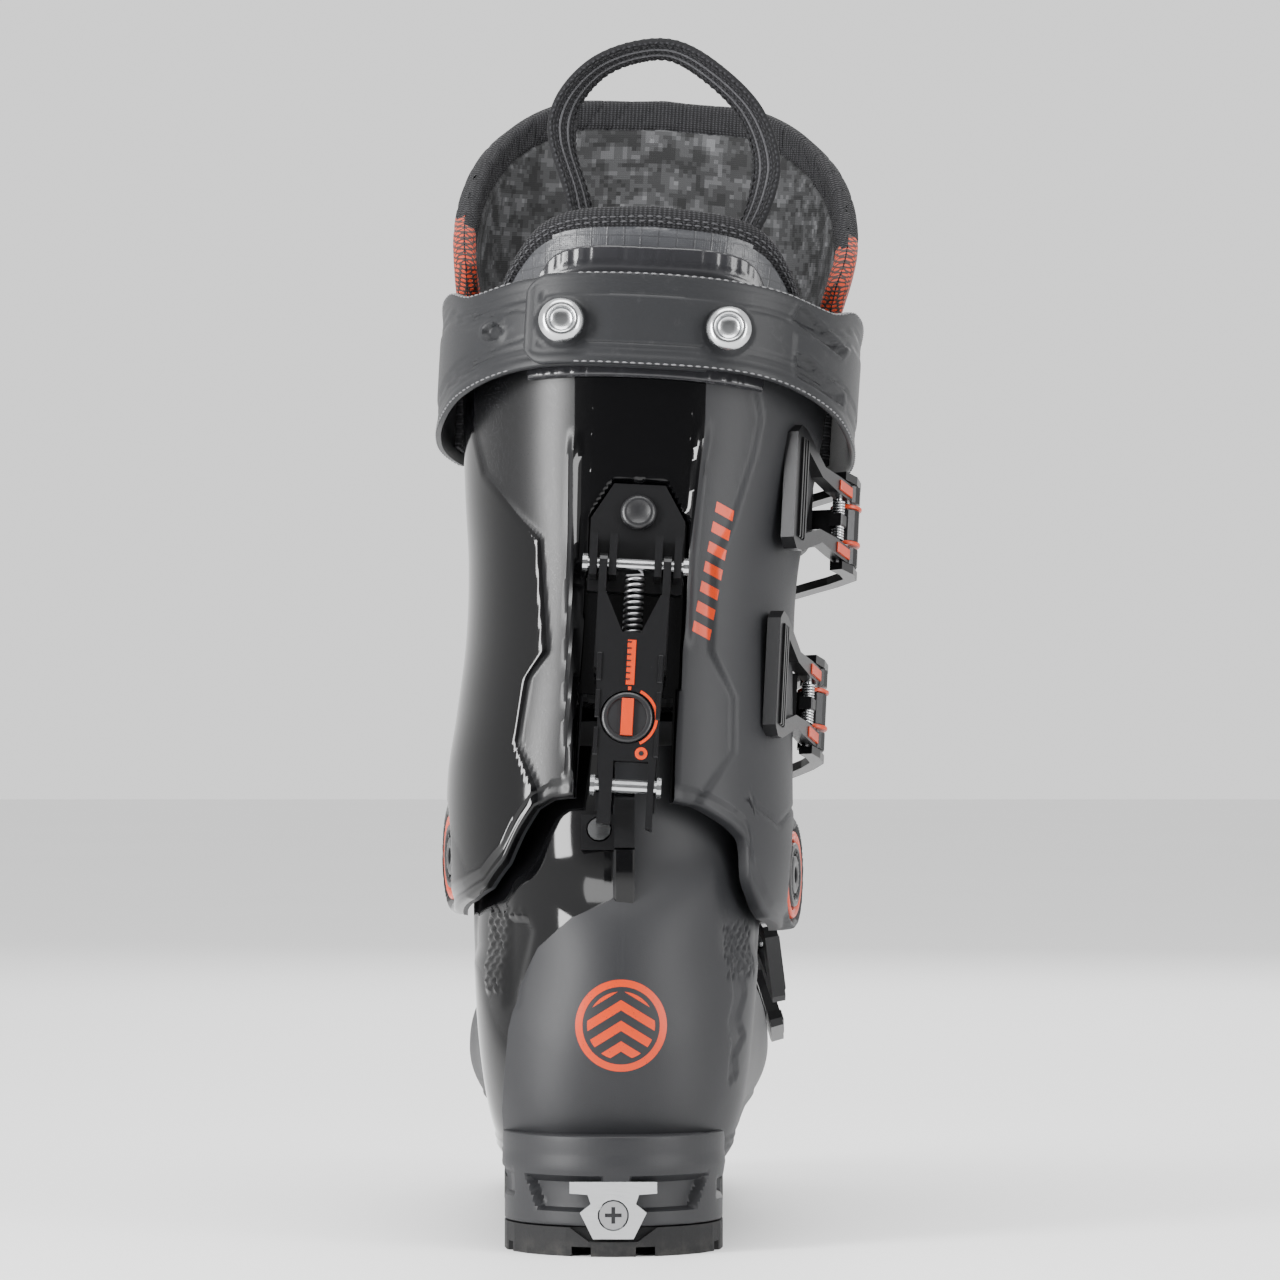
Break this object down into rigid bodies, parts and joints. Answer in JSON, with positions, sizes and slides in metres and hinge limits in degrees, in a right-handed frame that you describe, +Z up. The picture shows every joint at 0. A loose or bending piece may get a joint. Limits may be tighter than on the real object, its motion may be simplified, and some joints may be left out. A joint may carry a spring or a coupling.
{
  "type": "ski boot",
  "caption": "Right-foot alpine ski boot: overlap shell with hinged cuff, lever buckles with wire bails, power strap, walk-mode lever, padded liner and tech-binding inserts",
  "frame": {"origin": "middle of the heel pad's underside, on the floor the boot stands on", "axes": "+X to the boot's outer side, +Y to the toe, +Z up"},
  "size_m": [0.1397, 0.3155, 0.3886],
  "materials": {
    "matte_shell": "moulded plastic with a fine matte grain, charcoal, glossy on the inner side",
    "gloss_shell": "polished black moulded plastic with a matte charcoal panel on the outer side",
    "dark_plastic": "satin moulded plastic",
    "sole_rubber": "dull moulded rubber with dust in the tread",
    "strap_rubber": "satin rubber with embossed contour lines",
    "strap_webbing": "woven webbing with stitched edges",
    "liner_fabric": "foam faced with ripstop cloth and bound in ribbed knit",
    "footbed_fabric": "felt-faced foam",
    "steel": "polished steel",
    "pivot_orange": "satin orange plastic",
    "black_metal": "black anodised aluminium"
  },
  "bodies": {
    "shell": {"lower_shell": "matte_shell", "lock_block": "black_metal", "lock_block_screw": "steel", "heel_sole_pad": "sole_rubber", "toe_sole_pad": "sole_rubber", "heel_left_sole_screw": "steel", "heel_right_sole_screw": "steel", "toe_left_sole_screw": "steel", "toe_right_sole_screw": "steel", "heel_insert": "steel", "heel_insert_screw": "steel", "toe_insert": "steel", "inner_pivot_bolt": "steel", "outer_pivot_bolt": "steel", "boot_board": "dark_plastic", "liner_foot": "liner_fabric", "footbed": "footbed_fabric", "instep_buckle_base": "black_metal", "instep_lever_pin": "steel", "instep_ladder": "black_metal", "toe_buckle_base": "black_metal", "toe_lever_pin": "steel", "toe_ladder": "black_metal"},
    "cuff": {"cuff_shell": "gloss_shell", "inner_pivot_cap": "black_metal", "inner_pivot_ring": "pivot_orange", "outer_pivot_cap": "black_metal", "outer_pivot_ring": "pivot_orange", "walk_bracket": "black_metal", "walk_hinge_pin": "steel", "walk_bracket_screw": "black_metal", "rear_spoiler": "dark_plastic", "strap_band_inner": "strap_rubber", "strap_band_outer": "strap_rubber", "strap_rivet_inner": "steel", "strap_rivet_outer": "steel", "power_strap": "strap_webbing", "liner_cuff": "liner_fabric", "tongue": "liner_fabric", "pull_loop": "strap_webbing", "upper_buckle_base": "black_metal", "upper_lever_pin": "steel", "upper_ladder": "black_metal", "lower_buckle_base": "black_metal", "lower_lever_pin": "steel", "lower_ladder": "black_metal"},
    "walk_lever": {"walk_lever": "black_metal", "walk_cross_pin": "steel", "walk_spring": "steel"},
    "walk_knob": {"walk_lock_knob": "black_metal"},
    "upper_lever": {"upper_lever": "black_metal"},
    "upper_bail": {"upper_bail": "black_metal"},
    "lower_lever": {"lower_lever": "black_metal"},
    "lower_bail": {"lower_bail": "black_metal"},
    "instep_lever": {"instep_lever": "black_metal"},
    "instep_bail": {"instep_bail": "black_metal"},
    "toe_lever": {"toe_lever": "black_metal"},
    "toe_bail": {"toe_bail": "black_metal"}
  },
  "joints": [
    {"name": "cuff_hinge", "type": "hinge", "parent": "shell", "child": "cuff", "pos_m": [0.002, 0.035, 0.119], "axis": [-0.9985, 0, 0.0545], "range_deg": [-15, 12]},
    {"name": "walk_lever_hinge", "type": "hinge", "parent": "cuff", "child": "walk_lever", "pos_m": [0.00692, -0.0055, 0.21565], "axis": [-0.9987, 0.0117, 0.0506], "range_deg": [0, 30], "stiffness_Nm_per_rad": 0.3, "springref_deg": -28.65},
    {"name": "walk_knob_turn", "type": "hinge", "parent": "walk_lever", "child": "walk_knob", "pos_m": [0.00426, -0.02401, 0.16745], "axis": [0, -0.9744, 0.225], "range_deg": [0, 90]},
    {"name": "upper_lever_hinge", "type": "hinge", "parent": "cuff", "child": "upper_lever", "pos_m": [0.07579, 0.07215, 0.22878], "axis": [0.0519, 0.2246, 0.9731], "range_deg": [0, 95]},
    {"name": "upper_bail_hinge", "type": "hinge", "parent": "upper_lever", "child": "upper_bail", "pos_m": [0.07317, 0.06377, 0.23086], "axis": [0.0519, 0.2246, 0.9731], "range_deg": [-152, 0]},
    {"name": "lower_lever_hinge", "type": "hinge", "parent": "cuff", "child": "lower_lever", "pos_m": [0.06464, 0.05862, 0.16878], "axis": [0.0519, 0.2246, 0.9731], "range_deg": [0, 95]},
    {"name": "lower_bail_hinge", "type": "hinge", "parent": "lower_lever", "child": "lower_bail", "pos_m": [0.06284, 0.05003, 0.17086], "axis": [0.0519, 0.2246, 0.9731], "range_deg": [-152, 0]},
    {"name": "instep_lever_hinge", "type": "hinge", "parent": "shell", "child": "instep_lever", "pos_m": [0.04591, 0.10166, 0.09757], "axis": [-0.1219, -0.4032, 0.9069], "range_deg": [0, 80]},
    {"name": "instep_bail_hinge", "type": "hinge", "parent": "instep_lever", "child": "instep_bail", "pos_m": [0.04808, 0.09355, 0.09425], "axis": [-0.1219, -0.4032, 0.9069], "range_deg": [-112, 0]},
    {"name": "toe_lever_hinge", "type": "hinge", "parent": "shell", "child": "toe_lever", "pos_m": [0.0462, 0.18445, 0.0855], "axis": [-0.0256, -0.9582, 0.2848], "range_deg": [0, 75]},
    {"name": "toe_bail_hinge", "type": "hinge", "parent": "toe_lever", "child": "toe_bail", "pos_m": [0.04924, 0.18195, 0.07738], "axis": [-0.0256, -0.9582, 0.2848], "range_deg": [-120, 0]}
  ],
  "couplings": [
    {"joint": "upper_bail_hinge", "follows": "upper_lever_hinge", "ratio": -1.6},
    {"joint": "lower_bail_hinge", "follows": "lower_lever_hinge", "ratio": -1.6},
    {"joint": "instep_bail_hinge", "follows": "instep_lever_hinge", "ratio": -1.4},
    {"joint": "toe_bail_hinge", "follows": "toe_lever_hinge", "ratio": -1.6}
  ]
}
